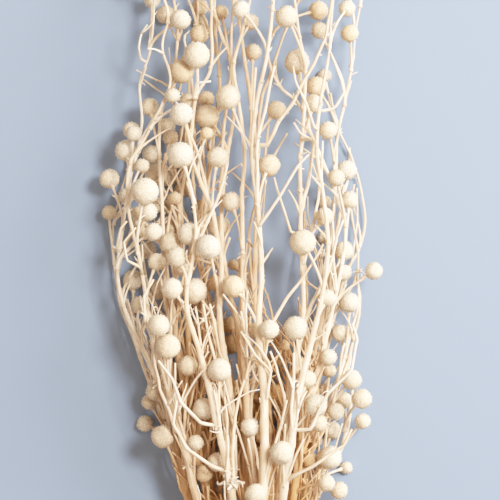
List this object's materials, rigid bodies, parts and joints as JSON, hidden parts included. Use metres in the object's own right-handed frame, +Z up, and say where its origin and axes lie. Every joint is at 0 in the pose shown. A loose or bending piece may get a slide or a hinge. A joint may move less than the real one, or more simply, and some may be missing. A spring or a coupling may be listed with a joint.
{
  "type": "bunch of dried button-headed stems",
  "caption": "Bunch of bleached, much-branched dried stems with rough ball-shaped seed heads, tied with twine and lying on a flat surface.",
  "frame": {"origin": "under the middle of the bunch, on the flat surface that it lies on", "axes": "+Y along the bunch from the cut ends to the tips, +Z up from the surface, +X to the right seen from above with the tips up"},
  "size_m": [0.1414, 0.4437, 0.0604],
  "materials": {
    "bleached_stem": "bleached and dried, matt cream, with fine fibres and granular balls",
    "jute_twine": "natural twisted jute twine, matt brown"
  },
  "bodies": {
    "root": {"stem_low_left": "bleached_stem", "stem_low_right_arc": "bleached_stem", "stem_low_right": "bleached_stem", "stem_left_inner": "bleached_stem", "stem_mid_left": "bleached_stem", "stem_right_tall": "bleached_stem", "stem_right_short": "bleached_stem", "stem_left_outer": "bleached_stem", "stem_left_long": "bleached_stem", "stem_centre_left": "bleached_stem", "stem_centre_thin": "bleached_stem", "stem_right_wander": "bleached_stem", "stem_left_bright": "bleached_stem", "stem_mid_weave": "bleached_stem", "stem_centre_tall": "bleached_stem", "stem_right_inner": "bleached_stem", "stem_top_left": "bleached_stem", "stem_top_centre": "bleached_stem", "stem_top_right": "bleached_stem", "twine_tie": "jute_twine"}
  },
  "joints": []
}
